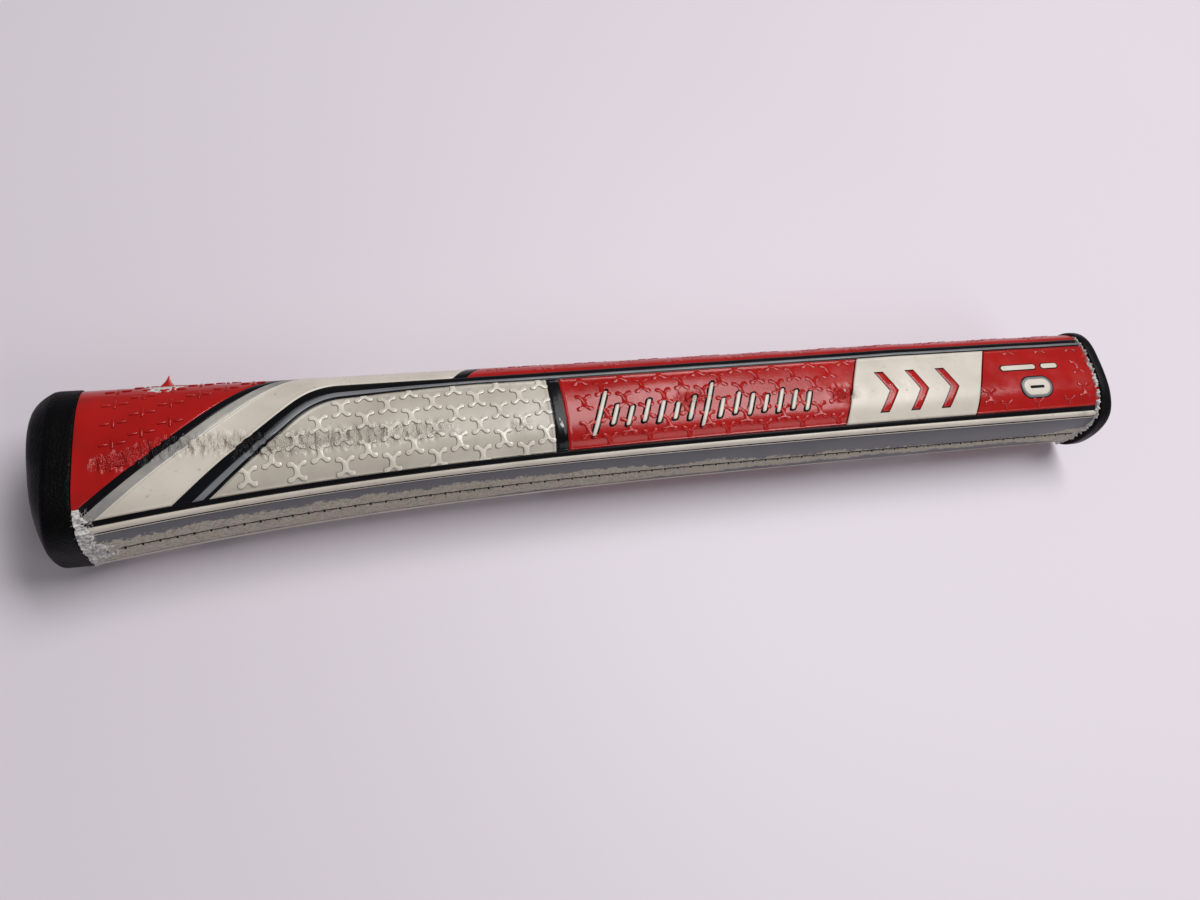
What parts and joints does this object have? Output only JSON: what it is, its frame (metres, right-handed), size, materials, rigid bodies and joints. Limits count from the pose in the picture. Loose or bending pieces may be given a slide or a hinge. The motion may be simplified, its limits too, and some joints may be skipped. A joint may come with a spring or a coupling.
{
  "type": "golf grip",
  "caption": "Pistol-shaped putter grip: stitched wrap over felt and a foam core with a blind shaft bore, mouth ring, and a butt cap with a screw-out port plug.",
  "frame": {"origin": "on the bore axis at the mouth face", "axes": "+X along the bore toward the club head, +Y out of the flat thumb face, +Z out of one side; the stitched spine faces -Y"},
  "size_m": [0.2667, 0.0376, 0.028],
  "materials": {
    "foam": "matte closed-cell foam",
    "tape": "woven",
    "felt": "needled felt",
    "skin": "glossy printed polyurethane",
    "thread": "waxed",
    "ring": "satin",
    "cap": "stippled satin",
    "insert": "moulded",
    "gasket": "satin",
    "plug": "moulded"
  },
  "bodies": {
    "grip": {"foam_core": "foam", "seam_tape": "tape", "felt_backing": "felt", "wrap_skin": "skin", "seam_thread": "thread", "mouth_ring": "ring", "butt_cap": "cap", "port_insert": "insert"},
    "gasket": {"plug_gasket": "gasket"},
    "plug": {"port_plug": "plug"}
  },
  "joints": [
    {"name": "plug_travel", "type": "slide", "parent": "grip", "child": "gasket", "axis": [-1, 0, 0], "range_m": [0, 0.0075]},
    {"name": "plug_turn", "type": "hinge", "parent": "gasket", "child": "plug", "pos_m": [-0.26, 0, 0], "axis": [-1, 0, 0], "range_deg": [0, 1350]}
  ],
  "couplings": [
    {"joint": "plug_turn", "follows": "plug_travel", "rad_per_m": 3141.6}
  ]
}
